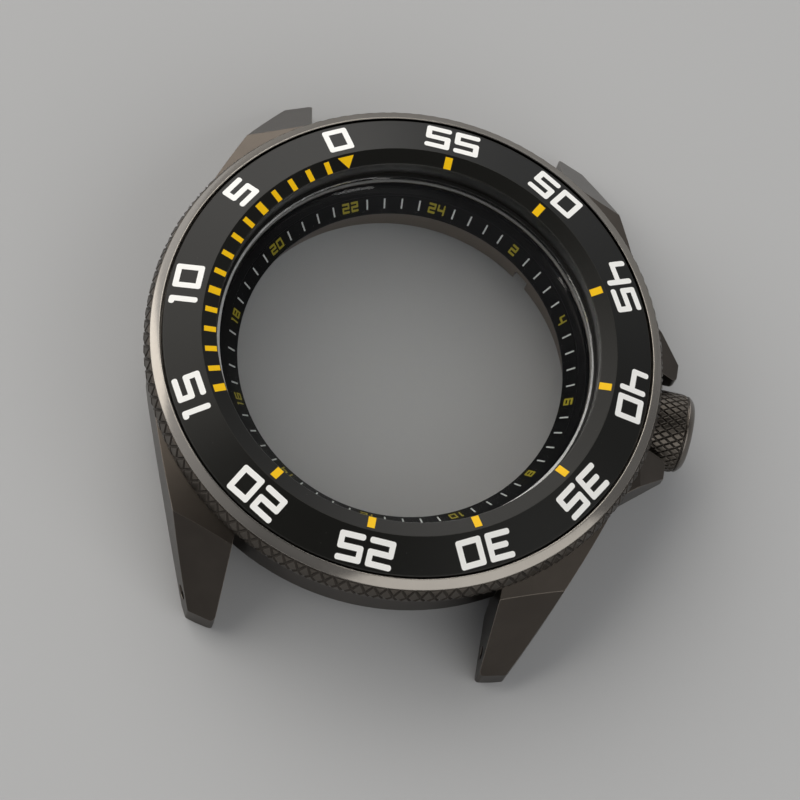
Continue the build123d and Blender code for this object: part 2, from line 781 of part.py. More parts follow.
def grip_cutters():
    """Upright grooves around the grip of the bezel."""
    outline = Polygon((bezel_radius - grip_depth, 0),
                      (bezel_radius + grip_depth, -grip_depth * 2),
                      (bezel_radius + grip_depth, grip_depth * 2), align=None)
    height = grip_top_z - bezel_foot_z + overrun
    groove = Pos(0, 0, bezel_foot_z - overrun) * extrude(outline, height)
    return [Rot(0, 0, step * full_turn / grip_count) * groove for step in range(grip_count)]


def tooth_cutters():
    """Sawtooth notches under the bezel, one of them over the detent ball."""
    apex = tooth_width * (tooth_apex_share - 1 / 2)
    outline = Polygon((-tooth_width / 2, 0), (tooth_width / 2, 0), (apex, tooth_depth),
                      align=None)
    notch = extrude(Plane.YZ * outline, tooth_outer_radius - tooth_inner_radius)
    notch = Pos(tooth_inner_radius, 0, bezel_foot_z) * notch
    return [Rot(0, 0, click_azimuth + step * full_turn / tooth_count) * notch
            for step in range(tooth_count)]


def make_bezel_ring():
    """The turning ring with its lip, chamfer, grip and detent teeth."""
    return bezel_blank() - grip_cutters() - tooth_cutters()


def make_bezel_gasket():
    """The rubber ring in the groove of the neck."""
    thickness = bezel_gasket_thickness / 2
    middle = bezel_bore_radius - bezel_gasket_gap - thickness
    middle_z = gasket_groove_z + gasket_groove_height / 2
    section = Pos(middle, middle_z) * Circle(thickness)
    return revolve(Plane.XZ * section, axis=Axis.Z)


def coil(mean_radius, wire, coils, low, height):
    """A round-wire spring that stands on the XY plane of its own frame."""
    pitch = (height - wire) / coils
    line = Helix(pitch, height - wire, mean_radius)
    start = Plane(origin=line @ 0, z_dir=line % 0)
    spring = sweep(start * Circle(wire / 2), path=line)
    return Pos(0, 0, low + wire / 2) * spring


def make_click_ball():
    """The detent ball in its hole under the bezel."""
    place = Rot(0, 0, click_azimuth) * Pos(click_radius, 0, click_ball_z)
    return place * Sphere(click_ball_radius)


def make_click_spring():
    """The coil spring between the ball and the bottom of the hole."""
    height = click_ball_z - click_ball_radius - click_spring_gap - click_hole_z
    spring = coil(click_spring_radius, click_spring_wire, click_spring_coils,
                  click_hole_z, height)
    return Rot(0, 0, click_azimuth) * Pos(click_radius, 0, 0) * spring


def make_crown_tube():
    """The tube pressed into the case, with the crown's thread on its outer end."""
    return turned_on_crown([
        (tube_inner_x, tube_bore_radius - running_gap * 2),
        (tube_inner_x, tube_press_radius), (crown_spot_x, tube_press_radius),
        (crown_spot_x, tube_thread_radius), (tube_outer_x, tube_thread_radius),
        (tube_outer_x, tube_bore_radius),
        (crown_pipe_end_x - overrun, tube_bore_radius),
        (crown_pipe_end_x - overrun, tube_bore_radius - running_gap * 2),
    ])


def crown_blank():
    """The crown before its grip is cut: skirt, end, pipe and spring chamber."""
    skirt_bore = tube_thread_radius + thread_gap
    groove_x = crown_pipe_end_x + o_ring_inset
    groove_end_x = groove_x + o_ring_thickness + o_ring_gap * 2
    groove_radius = crown_pipe_radius - o_ring_groove_depth
    end_radius = crown_radius - crown_taper
    return turned_on_crown([
        (crown_skirt_x, skirt_bore), (crown_skirt_x, crown_radius),
        (crown_end_x - crown_taper_length, crown_radius),
        (crown_end_x - crown_end_chamfer, end_radius),
        (crown_end_x, end_radius - crown_end_chamfer),
        (crown_end_x, 0), (crown_floor_x, 0), (crown_floor_x, crown_pipe_bore),
        (crown_pipe_end_x, crown_pipe_bore), (crown_pipe_end_x, crown_pipe_radius),
        (groove_x, crown_pipe_radius), (groove_x, groove_radius),
        (groove_end_x, groove_radius), (groove_end_x, crown_pipe_radius),
        (crown_pipe_root_x, crown_pipe_radius), (crown_pipe_root_x, skirt_bore),
    ])


def crown_grip_cutters():
    """Grooves around the rim of the crown."""
    tip_radius = crown_radius - crown_grip_depth
    rim_radius = crown_radius + crown_grip_depth
    outline = Polygon((tip_radius, 0), (rim_radius, -crown_grip_depth * 2),
                      (rim_radius, crown_grip_depth * 2), align=None)
    length = crown_end_x - crown_end_chamfer - crown_skirt_x + overrun
    groove = Pos(crown_skirt_x - overrun, 0, 0) * extrude(Plane.YZ * outline, length)
    return [Pos(0, 0, crown_height) * Rot(step * full_turn / crown_grip_count, 0, 0) * groove
            for step in range(crown_grip_count)]


def make_crown_head():
    """The crown that is gripped, with the pipe that runs in the tube."""
    return crown_blank() - crown_grip_cutters()


def make_crown_gasket():
    """The flat seal in the crown that closes on the end of the tube."""
    return turned_on_crown([
        (crown_gasket_x, crown_pipe_radius), (crown_gasket_x, tube_thread_radius),
        (crown_pipe_root_x, tube_thread_radius), (crown_pipe_root_x, crown_pipe_radius),
    ])


def make_crown_o_ring():
    """The rubber ring on the pipe that seals in the bore of the tube."""
    thickness = o_ring_thickness / 2
    middle_x = crown_pipe_end_x + o_ring_inset + thickness + o_ring_gap
    middle_radius = tube_bore_radius - o_ring_gap - thickness
    section = Pos(middle_x, crown_height + middle_radius) * Circle(thickness)
    return revolve(Plane.XZ * section, axis=Axis((0, 0, crown_height), (1, 0, 0)))


def make_crown_bush():
    """The bush pressed into the mouth of the pipe to keep the post in."""
    bore = post_radius + post_gap
    end_x = crown_pipe_end_x + bush_length
    return turned_on_crown([
        (crown_pipe_end_x, bore), (crown_pipe_end_x, crown_pipe_bore),
        (end_x, crown_pipe_bore), (end_x, bore),
    ])


def make_crown_post():
    """The sprung post, with a threaded hole for the stem in its inner end."""
    flange_end_x = post_flange_x + post_flange_length
    hole_end_x = post_inner_x + stem_thread_depth
    return turned_on_crown([
        (post_inner_x, stem_thread_radius), (post_inner_x, post_radius),
        (post_flange_x, post_radius), (post_flange_x, post_flange_radius),
        (flange_end_x, post_flange_radius), (flange_end_x, 0),
        (hole_end_x, 0), (hole_end_x, stem_thread_radius),
    ])


def make_crown_spring():
    """The coil spring between the post's flange and the end of the crown."""
    low_x = post_flange_x + post_flange_length
    mean_radius = post_flange_radius - spring_wire
    spring = coil(mean_radius, spring_wire, spring_coils, 0, crown_floor_x - low_x)
    return Pos(low_x, 0, crown_height) * Rot(0, 90, 0) * spring


def main():
    """Write every piece of the case as its own STEP file."""
    os.makedirs("parts", exist_ok=True)
    ticks = make_chapter_minute_ticks()
    hours = make_chapter_hour_numerals()
    numerals = make_bezel_numerals()
    marks = make_bezel_minute_marks()
    pieces = {
        "case_middle": make_case_middle(),
        "crystal": make_crystal(),
        "crystal_gasket": make_crystal_gasket(),
        "chapter_ring": make_chapter_ring(ticks, hours),
        "chapter_minute_ticks": ticks,
        "chapter_hour_numerals": hours,
        "bezel_ring": make_bezel_ring(),
        "bezel_insert": make_bezel_insert(numerals, marks),
        "bezel_numerals": numerals,
        "bezel_minute_marks": marks,
        "insert_adhesive": make_insert_adhesive(),
        "bezel_gasket": make_bezel_gasket(),
        "click_ball": make_click_ball(),
        "click_spring": make_click_spring(),
        "crown_tube": make_crown_tube(),
        "crown_head": make_crown_head(),
        "crown_gasket": make_crown_gasket(),
        "crown_o_ring": make_crown_o_ring(),
        "crown_bush": make_crown_bush(),
        "crown_post": make_crown_post(),
        "crown_spring": make_crown_spring(),
    }
    for name, piece in pieces.items():
        export_step(piece, os.path.join("parts", name + ".step"))


main()
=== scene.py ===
import bmesh
import bpy
from math import cos, hypot, pi, radians, sin
from mathutils import Matrix, Vector


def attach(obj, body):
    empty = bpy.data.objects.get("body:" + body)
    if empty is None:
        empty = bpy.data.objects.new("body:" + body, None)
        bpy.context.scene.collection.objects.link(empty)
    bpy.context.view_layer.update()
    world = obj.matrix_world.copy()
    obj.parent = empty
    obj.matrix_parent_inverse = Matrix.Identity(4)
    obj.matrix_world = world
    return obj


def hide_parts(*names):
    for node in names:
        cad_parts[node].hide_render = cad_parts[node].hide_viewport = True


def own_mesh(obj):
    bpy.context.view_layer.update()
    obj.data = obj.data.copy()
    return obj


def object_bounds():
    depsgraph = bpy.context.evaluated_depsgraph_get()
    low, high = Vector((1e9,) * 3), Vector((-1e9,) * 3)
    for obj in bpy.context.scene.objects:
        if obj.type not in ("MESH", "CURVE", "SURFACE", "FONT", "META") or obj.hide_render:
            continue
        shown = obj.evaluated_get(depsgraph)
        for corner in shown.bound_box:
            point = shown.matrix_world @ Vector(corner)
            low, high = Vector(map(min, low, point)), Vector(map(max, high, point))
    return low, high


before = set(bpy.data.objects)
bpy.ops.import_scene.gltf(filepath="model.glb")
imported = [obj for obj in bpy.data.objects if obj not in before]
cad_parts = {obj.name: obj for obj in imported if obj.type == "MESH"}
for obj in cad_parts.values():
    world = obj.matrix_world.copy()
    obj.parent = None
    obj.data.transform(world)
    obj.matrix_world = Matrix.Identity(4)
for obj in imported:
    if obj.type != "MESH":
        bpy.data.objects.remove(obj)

cad_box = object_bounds()
MM = 0.001               # the sizes below are millimetres, the scene is metres


# Case middle
# The body of the case, milled from a block of 316L steel: lugs, crown guards, neck and
# bores. Its flanks are brushed lengthwise and then coated dark grey by vapour deposition,
# so the eye gets a warm gunmetal with fine streaks. Its edges are painted slightly
# lighter, partly as a rubbed coat and partly as a painted highlight. Its movement bore
# is painted lighter, partly for a thinner coat and partly as painted light.

def linear(hex_colour):
    """A shader colour from an sRGB hex value."""
    channels = [int(hex_colour[place:place + 2], 16) / 255 for place in (1, 3, 5)]
    return tuple(c / 12.92 if c < 0.04045 else ((c + 0.055) / 1.055) ** 2.4
                 for c in channels) + (1.0,)


def add_node(tree, kind, settings=None, **links):
    """A shader node with its settings and its links, given by socket name."""
    node = tree.nodes.new(kind)
    for name, value in (settings or {}).items():
        if isinstance(name, str) and name[0].islower():
            setattr(node, name, value)
        else:
            node.inputs[name].default_value = value
    for name, socket in links.items():
        target = int(name[1:]) if name[0] == "i" and name[1:].isdigit() else name.replace("_", " ")
        tree.links.new(socket, node.inputs[target])
    return node


def new_material(name):
    """An empty node material and its surface output."""
    material = bpy.data.materials.new(name)
    material.use_nodes = True
    tree = material.node_tree
    tree.nodes.clear()
    return material, tree, tree.nodes.new("ShaderNodeOutputMaterial")


def dress(name, material):
    """Puts a material on all of a CAD node."""
    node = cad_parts[name]
    for place in range(len(node.data.materials)):
        node.material_slots[place].material = material


def brushed_steel(name, base, dark, roughness, edge, stretch=(1.0, 1.0, 1.0), bore=None):
    """Dark coated steel with streaks where its grain is stretched, and with edges painted
    lighter: partly a rubbed coat, partly a painted highlight.

    The bore, given by its radius and colour, is turned and has a thinner coat. Its lighter
    colour is partly painted light that brightens the bore wall.
    """
    material, tree, output = new_material(name)
    place = add_node(tree, "ShaderNodeTexCoord").outputs["Object"]
    # a grain of 0.4 mm, which the stretch turns into brush lines
    brushing = add_node(tree, "ShaderNodeMapping", {"Scale": stretch}, Vector=place)
    lines = add_node(tree, "ShaderNodeTexNoise",
                     {"Scale": 1 / (0.4 * MM), "Detail": 5.0, "Roughness": 0.7},
                     Vector=brushing.outputs["Vector"])
    # clouds of about 3 mm where the coat is a shade thicker
    clouds = add_node(tree, "ShaderNodeTexNoise", {"Scale": 1 / (3 * MM), "Detail": 3.0},
                      Vector=place)
    blend = add_node(tree, "ShaderNodeMix",
                     {"data_type": "RGBA", 6: linear(dark), 7: linear(base)},
                     i0=clouds.outputs["Fac"])
    # soft edges: the bevel normal differs from the face's own near an edge
    soft = add_node(tree, "ShaderNodeBevel", {"samples": 6, "Radius": 0.09 * MM})
    flat = add_node(tree, "ShaderNodeNewGeometry").outputs["Normal"]
    turn = add_node(tree, "ShaderNodeVectorMath", {"operation": "DOT_PRODUCT"},
                    i0=soft.outputs["Normal"], i1=flat)
    # edges painted lighter: partly a rubbed coat, partly a painted highlight along each edge
    wear_and_edge_highlight = add_node(tree, "ShaderNodeMapRange",
                    {"From Min": 0.985, "From Max": 0.86, "To Min": 0.0, "To Max": 0.8},
                    Value=turn.outputs["Value"])
    coat = blend.outputs[2]
    # inside the movement's bore the colour is lighter: partly a thinner turned coat, partly
    # painted light that brightens the bore wall
    if bore:
        level = add_node(tree, "ShaderNodeVectorMath",
                         {"operation": "MULTIPLY", 1: (1.0, 1.0, 0.0)}, i0=place)
        radius = add_node(tree, "ShaderNodeVectorMath", {"operation": "LENGTH"},
                          i0=level.outputs["Vector"])
        inside = add_node(tree, "ShaderNodeMath", {"operation": "LESS_THAN", 1: bore[0] * MM},
                          i0=radius.outputs["Value"])
        thinner_coat_and_painted_light = add_node(tree, "ShaderNodeMix", {"data_type": "RGBA", 7: linear(bore[1])},
                        i0=inside.outputs["Value"], i6=coat)
        coat = thinner_coat_and_painted_light.outputs[2]
    colour = add_node(tree, "ShaderNodeMix", {"data_type": "RGBA", 7: linear(edge)},
                      i0=wear_and_edge_highlight.outputs["Result"], i6=coat)
    gloss = add_node(tree, "ShaderNodeMapRange",
                     {"To Min": roughness - 0.06, "To Max": roughness + 0.08},
                     Value=lines.outputs["Fac"])
    bump = add_node(tree, "ShaderNodeBump", {"Strength": 0.35, "Distance": 0.004 * MM},
                    Height=lines.outputs["Fac"], Normal=soft.outputs["Normal"])
    shader = add_node(tree, "ShaderNodeBsdfPrincipled", {"Metallic": 1.0},
                      Base_Color=colour.outputs[2], Roughness=gloss.outputs["Result"],
                      Normal=bump.outputs["Normal"])
    tree.links.new(shader.outputs["BSDF"], output.inputs["Surface"])
    return material


BRUSHING = (6.0, 0.12, 6.0)            # lines 0.07 mm across and 3.3 mm long, from lug to lug
# the bore's lighter colour is partly a thinner coat and partly painted light on the bore wall
THIN_COAT_AND_PAINTED_LIGHT_RADIUS = 15.2                # takes in the movement's bore, not the wider ones
# the last colour is the edges' lighter paint: partly a rubbed coat, partly a painted highlight
case_steel = brushed_steel("brushed_pvd_steel", "#58524c", "#47423d", 0.30, "#a0978d",
                           BRUSHING, (THIN_COAT_AND_PAINTED_LIGHT_RADIUS, "#8d8278"))
dress("case_middle", case_steel)


# Inner ring
# The sloping ring under the glass, turned from brass, lacquered satin black and pad
# printed with white ticks and olive yellow hours. It drops into its bore from above.

def lacquer(name, colour, roughness, speck, shine):
    """A smooth film of paint with a faint orange peel and a few dust specks."""
    material, tree, output = new_material(name)
    place = add_node(tree, "ShaderNodeTexCoord").outputs["Object"]
    # orange peel of about 0.4 mm
    peel = add_node(tree, "ShaderNodeTexNoise", {"Scale": 1 / (0.4 * MM), "Detail": 1.0},
                    Vector=place)
    bump = add_node(tree, "ShaderNodeBump", {"Strength": 0.12, "Distance": 0.004 * MM},
                    Height=peel.outputs["Fac"])
    # specks of dust, one every millimetre or so
    grains = add_node(tree, "ShaderNodeTexVoronoi", {"Scale": 1 / (1.1 * MM)}, Vector=place)
    dots = add_node(tree, "ShaderNodeMapRange",
                    {"From Min": 0.03, "From Max": 0.02, "To Min": 0.0, "To Max": 0.5},
                    Value=grains.outputs["Distance"])
    shade = add_node(tree, "ShaderNodeMix", {"data_type": "RGBA", 6: linear(colour),
                                             7: linear(speck)}, i0=dots.outputs["Result"])
    shader = add_node(tree, "ShaderNodeBsdfPrincipled",
                      {"Roughness": roughness, "IOR": 1.5, "Specular IOR Level": shine},
                      Base_Color=shade.outputs[2], Normal=bump.outputs["Normal"])
    tree.links.new(shader.outputs["BSDF"], output.inputs["Surface"])
    return material


dress("chapter_ring", lacquer("satin_black_lacquer", "#0e0e0f", 0.3, "#3a3a38", 0.06))
dress("chapter_minute_ticks", lacquer("white_printing_ink", "#c9cdcc", 0.35, "#8f9290", 0.3))
dress("chapter_hour_numerals", lacquer("yellow_printing_ink", "#978c1b", 0.35, "#6f6716", 0.3))


# Glass and its gasket
# A flat sapphire glass, sawn and polished clear, with two small bevels ground around it.
# It is pressed into its bore through a thin nylon ring, and its ground foot shows through
# it as a fine pale line.

GLASS_RADIUS = 15.742                  # just clear of the nylon ring
GLASS_FOOT = 7.35                      # heights of its underside and its top
GLASS_TOP = 9.35
FOOT_BEVEL = 0.12
TOP_BEVEL = 0.2
GLASS_SIDES = 240
LEVEL_PLAY = 0.01                      # how far a height may be off and still be level
MERGE_GAP = 0.0015                     # corners closer than this are one
SHARP_DEGREES = 30                     # edges that turn more than this stay sharp


def finished(bm, name, body, replaces, materials):
    """Merges, turns faces out, smooths all but the sharp edges and seats the piece."""
    bmesh.ops.remove_doubles(bm, verts=bm.verts, dist=MERGE_GAP * MM)
    bmesh.ops.recalc_face_normals(bm, faces=bm.faces)
    for face in bm.faces:
        face.smooth = True
    for edge in bm.edges:
        if len(edge.link_faces) == 2 and edge.calc_face_angle() > radians(SHARP_DEGREES):
            edge.smooth = False
    mesh = bpy.data.meshes.new(name)
    bm.to_mesh(mesh)
    bm.free()
    piece = bpy.data.objects.new(name, mesh)
    bpy.context.scene.collection.objects.link(piece)
    for material in materials:
        mesh.materials.append(material)
    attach(piece, body)
    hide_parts(replaces)
    return piece


material, tree, output = new_material("clear_sapphire")
# shadow rays pass straight through, so the ring below is lit as it is in daylight
body = add_node(tree, "ShaderNodeBsdfPrincipled",
                {"Base Color": linear("#ffffff"), "Roughness": 0.0, "IOR": 1.77,
                 "Transmission Weight": 1.0})
through = add_node(tree, "ShaderNodeBsdfTransparent", {"Color": linear("#f4f6f6")})
rays = add_node(tree, "ShaderNodeLightPath")
pick = add_node(tree, "ShaderNodeMixShader", i0=rays.outputs["Is Shadow Ray"],
                i1=body.outputs["BSDF"], i2=through.outputs["BSDF"])
tree.links.new(pick.outputs["Shader"], output.inputs["Surface"])
clear_sapphire = material

# ground sapphire is frosted by 0.02 mm grit, so it catches light from all sides
material, tree, output = new_material("ground_sapphire")
place = add_node(tree, "ShaderNodeTexCoord").outputs["Object"]
grit = add_node(tree, "ShaderNodeTexNoise", {"Scale": 1 / (0.02 * MM), "Detail": 2.0},
                Vector=place)
frost = add_node(tree, "ShaderNodeMix", {"data_type": "RGBA", 6: linear("#4c4c4b"),
                                         7: linear("#6a6a68")}, i0=grit.outputs["Fac"])
shader = add_node(tree, "ShaderNodeBsdfPrincipled", {"Roughness": 0.7, "IOR": 1.77},
                  Base_Color=frost.outputs[2])
tree.links.new(shader.outputs["BSDF"], output.inputs["Surface"])
ground_sapphire = material

bm = bmesh.new()
bmesh.ops.create_circle(bm, cap_ends=True, segments=GLASS_SIDES, radius=GLASS_RADIUS * MM)
bmesh.ops.translate(bm, vec=(0, 0, GLASS_FOOT * MM), verts=bm.verts)
raised = bmesh.ops.extrude_face_region(bm, geom=bm.faces[:])["geom"]
upper = [part for part in raised if isinstance(part, bmesh.types.BMVert)]
bmesh.ops.translate(bm, vec=(0, 0, (GLASS_TOP - GLASS_FOOT) * MM), verts=upper)
for height, size in ((GLASS_TOP, TOP_BEVEL), (GLASS_FOOT, FOOT_BEVEL)):
    rim = [edge for edge in bm.edges
           if all(abs(corner.co.z - height * MM) < LEVEL_PLAY * MM for corner in edge.verts)]
    bmesh.ops.bevel(bm, geom=rim, offset=size * MM, offset_type="OFFSET", affect="EDGES",
                    segments=1, profile=0.5, material=-1)
for face in bm.faces:
    middle = face.calc_center_median()
    rise = middle.z - LEVEL_PLAY * MM
    at_foot = GLASS_FOOT * MM < rise < (GLASS_FOOT + FOOT_BEVEL) * MM
    face.material_index = 1 if at_foot and len(face.verts) == 4 else 0
finished(bm, "crystal_ground", "case", "crystal",
         [clear_sapphire, ground_sapphire])


def moulded(name, colour, roughness, grain_mm):
    """A moulded plastic or rubber with a fine matt grain."""
    material, tree, output = new_material(name)
    place = add_node(tree, "ShaderNodeTexCoord").outputs["Object"]
    grain = add_node(tree, "ShaderNodeTexNoise", {"Scale": 1 / (grain_mm * MM), "Detail": 2.0},
                     Vector=place)
    gloss = add_node(tree, "ShaderNodeMapRange",
                     {"To Min": roughness - 0.08, "To Max": roughness + 0.08},
                     Value=grain.outputs["Fac"])
    bump = add_node(tree, "ShaderNodeBump", {"Strength": 0.2, "Distance": 0.01 * MM},
                    Height=grain.outputs["Fac"])
    shader = add_node(tree, "ShaderNodeBsdfPrincipled",
                      {"Base Color": linear(colour), "IOR": 1.5},
                      Roughness=gloss.outputs["Result"], Normal=bump.outputs["Normal"])
    tree.links.new(shader.outputs["BSDF"], output.inputs["Surface"])
    return material


dress("crystal_gasket", moulded("nylon_gasket", "#1d1d1c", 0.4, 0.2))


# Bezel gasket and detent
# A nitrile ring in the groove of the neck gives the bezel its drag, and a hardened ball
# on a coil spring clicks along its teeth. All are laid in before the bezel snaps on.

rubber = moulded("nitrile_rubber", "#161616", 0.55, 0.1)
dress("bezel_gasket", rubber)


def bright_metal(name, colour, roughness, grain_mm):
    """Bare metal whose gloss varies a little over a fine grain."""
    material, tree, output = new_material(name)
    place = add_node(tree, "ShaderNodeTexCoord").outputs["Object"]
    grain = add_node(tree, "ShaderNodeTexNoise", {"Scale": 1 / (grain_mm * MM), "Detail": 3.0},
                     Vector=place)
    gloss = add_node(tree, "ShaderNodeMapRange",
                     {"To Min": roughness - 0.05, "To Max": roughness + 0.1},
                     Value=grain.outputs["Fac"])
    shader = add_node(tree, "ShaderNodeBsdfPrincipled",
                      {"Base Color": linear(colour), "Metallic": 1.0},
                      Roughness=gloss.outputs["Result"])
    tree.links.new(shader.outputs["BSDF"], output.inputs["Surface"])
    return material


spring_steel = bright_metal("bare_spring_steel", "#b9b8b4", 0.22, 0.15)
dress("click_ball", spring_steel)

SPRING_PLACE = (-17.760, -6.464)       # 18.9 mm from the case axis
SPRING_FOOT = 5.4                      # height of the floor of its hole
SPRING_LENGTH = 1.5
SPRING_RADIUS = 0.4
SPRING_WIRE = 0.12
SPRING_COILS = 5
COIL_STEPS = 32
WIRE_SIDES = 10

bm = bmesh.new()
bmesh.ops.create_circle(bm, segments=WIRE_SIDES, radius=SPRING_WIRE / 2 * MM)
bmesh.ops.rotate(bm, verts=bm.verts, cent=(0, 0, 0), matrix=Matrix.Rotation(pi / 2, 3, "X"))
bmesh.ops.translate(bm, verts=bm.verts,
                    vec=((SPRING_PLACE[0] + SPRING_RADIUS) * MM, SPRING_PLACE[1] * MM,
                         (SPRING_FOOT + SPRING_WIRE / 2) * MM))
coil_steps = SPRING_COILS * COIL_STEPS
climb = (SPRING_LENGTH - SPRING_WIRE) * MM / coil_steps
bmesh.ops.spin(bm, geom=bm.verts[:] + bm.edges[:], axis=(0, 0, 1), dvec=(0, 0, climb),
               cent=(SPRING_PLACE[0] * MM, SPRING_PLACE[1] * MM, 0),
               angle=2 * pi * SPRING_COILS, steps=coil_steps, use_merge=False,
               use_duplicate=False)
bmesh.ops.holes_fill(bm, edges=[edge for edge in bm.edges if edge.is_boundary], sides=0)
spring = finished(bm, "click_spring_coiled", "case", "click_spring",
                  [spring_steel])
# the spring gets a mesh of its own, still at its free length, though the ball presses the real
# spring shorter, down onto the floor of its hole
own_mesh(spring)


# Bezel ring
# The turning ring, turned from the same steel, with a diamond-knurled grip, a mirror
# polished chamfer and a thin lip around the insert, all coated dark grey. It snaps over
# the neck of the case.

KNURL_CELLS = 120                      # diamonds around the grip, 1.14 mm apart
KNURL_ROWS = 2
KNURL_GROOVE = (0.14, 0.15)            # half width and depth of the grooves
GRIP_TOP = (21.38, 9.89)               # radius and height
GRIP_SHOULDER = (21.695, 9.25)
GRIP_FOOT = (21.695, 8.10)
# radius and height, from the top of the grip over the lip and round to the grip's foot
# the click teeth on the underside are hidden, so that side is plain here
BEZEL_SECTION = [(21.23, 9.89), (21.24, 9.94), (21.32, 9.95), (21.32, 9.97), (20.70, 10.42),
                 (20.62, 10.50), (20.57, 10.50), (20.53, 10.46), (20.53, 9.42),
                 (17.35, 9.42), (17.35, 8.20), (17.05, 8.20), (17.05, 7.95),
                 (21.545, 7.95), (21.545, 8.10)]


def spun(bm, section, steps, centre, axis):
    """Spins a line of (x, z) points once about an axis through the centre."""
    corners = [bm.verts.new((x * MM, 0, z * MM)) for x, z in section]
    edges = [bm.edges.new(pair) for pair in zip(corners, corners[1:])]
    bmesh.ops.spin(bm, geom=corners + edges, cent=[c * MM for c in centre], axis=axis,
                   angle=2 * pi, steps=steps, use_merge=True, use_duplicate=False)


def knurled(bm, cells, rows, groove, place, centre, axis):
    """Spins a column of diamonds into a knurled band with flat-topped points.

    The column is a grid, joined across its low corners and spun round. Its points are
    dissolved, which leaves one face for each diamond, and these faces are raised. The
    walls of the grooves are given back.
    """
    point = bm.verts.layers.int.new("point")
    grid = bmesh.ops.create_grid(bm, x_segments=2, y_segments=rows, size=1.0)["verts"]
    for corner in grid:
        across = round(corner.co.x)
        up = round((corner.co.y + 1) / 2 * rows)
        corner[point] = 1 - (across + up) % 2
        corner.co = place(up / rows, across * pi / cells, groove[1])
    bmesh.ops.connect_verts(bm, verts=[corner for corner in grid if not corner[point]])
    bmesh.ops.spin(bm, geom=bm.verts[:] + bm.edges[:] + bm.faces[:],
                   cent=[c * MM for c in centre], axis=axis, angle=2 * pi, steps=cells,
                   use_merge=True, use_duplicate=True)
    bmesh.ops.remove_doubles(bm, verts=bm.verts, dist=MERGE_GAP * MM)
    points = [corner for corner in bm.verts if corner[point]]
    inner = [corner for corner in points if not corner.is_boundary]
    spokes = {edge for corner in points if corner.is_boundary
              for edge in corner.link_edges if not edge.is_boundary}
    bmesh.ops.dissolve_edges(bm, edges=list(spokes), use_verts=False)
    bmesh.ops.dissolve_verts(bm, verts=inner)
    bmesh.ops.recalc_face_normals(bm, faces=bm.faces)
    raised = bmesh.ops.inset_individual(bm, faces=bm.faces, thickness=groove[0] * MM,
                                        depth=groove[1] * MM, use_even_offset=True)
    return set(raised["faces"])


def coat(bm, grip_faces, groove_walls):
    """Gives the grip the first material, the turned faces the second, the grooves the third."""
    for face in bm.faces:
        if face in groove_walls:
            face.material_index = 2
        elif face in grip_faces:
            face.material_index = 0
        else:
            face.material_index = 1


def on_grip(share, angle, depth):
    """A place on the bottom of the grip's grooves: up its height and around the case."""
    upright = GRIP_SHOULDER[1] - GRIP_FOOT[1]
    slope = hypot(GRIP_SHOULDER[0] - GRIP_TOP[0], GRIP_TOP[1] - GRIP_SHOULDER[1])
    run = share * (upright + slope)
    along = max(0, run - upright) / slope
    radius = GRIP_SHOULDER[0] + (GRIP_TOP[0] - GRIP_SHOULDER[0]) * along - depth
    height = min(GRIP_FOOT[1] + run, GRIP_SHOULDER[1])
    height += (GRIP_TOP[1] - GRIP_SHOULDER[1]) * along
    return radius * cos(angle) * MM, radius * sin(angle) * MM, height * MM


bm = bmesh.new()
groove_walls = knurled(bm, KNURL_CELLS, KNURL_ROWS, KNURL_GROOVE, on_grip,
                       (0, 0, 0), (0, 0, 1))
grip_faces = set(bm.faces)
# the steps match the band's two corners to a diamond, so the two meet without a gap
spun(bm, BEZEL_SECTION, KNURL_CELLS * 2, (0, 0, 0), (0, 0, 1))
coat(bm, grip_faces, groove_walls)
# each last colour is the edges' lighter paint: partly a rubbed coat, partly a painted highlight
knurl_steel = brushed_steel("knurled_pvd_steel", "#68625b", "#55504a", 0.30, "#8a837a")
bezel_steel = brushed_steel("polished_pvd_steel", "#97928b", "#8c8780", 0.15, "#c6c0b8")
# the walls of the grooves get a darker, duller steel: the darker colour is painted shade deep in
# the grooves
groove_shade_steel = brushed_steel("painted_shade_groove_steel", "#4c4742", "#3a3632", 0.42, "#5d5852")
finished(bm, "bezel_ring_knurled", "bezel", "bezel_ring",
         [knurl_steel, bezel_steel, groove_shade_steel])


# Bezel insert
# A black aluminium insert of two sloping bands that meet in a ridge, hard anodised satin
# black, with white numbers and yellow marks filled with paint. Thin tape holds it down.

dress("insert_adhesive", moulded("adhesive_tape", "#2a2927", 0.6, 0.3))


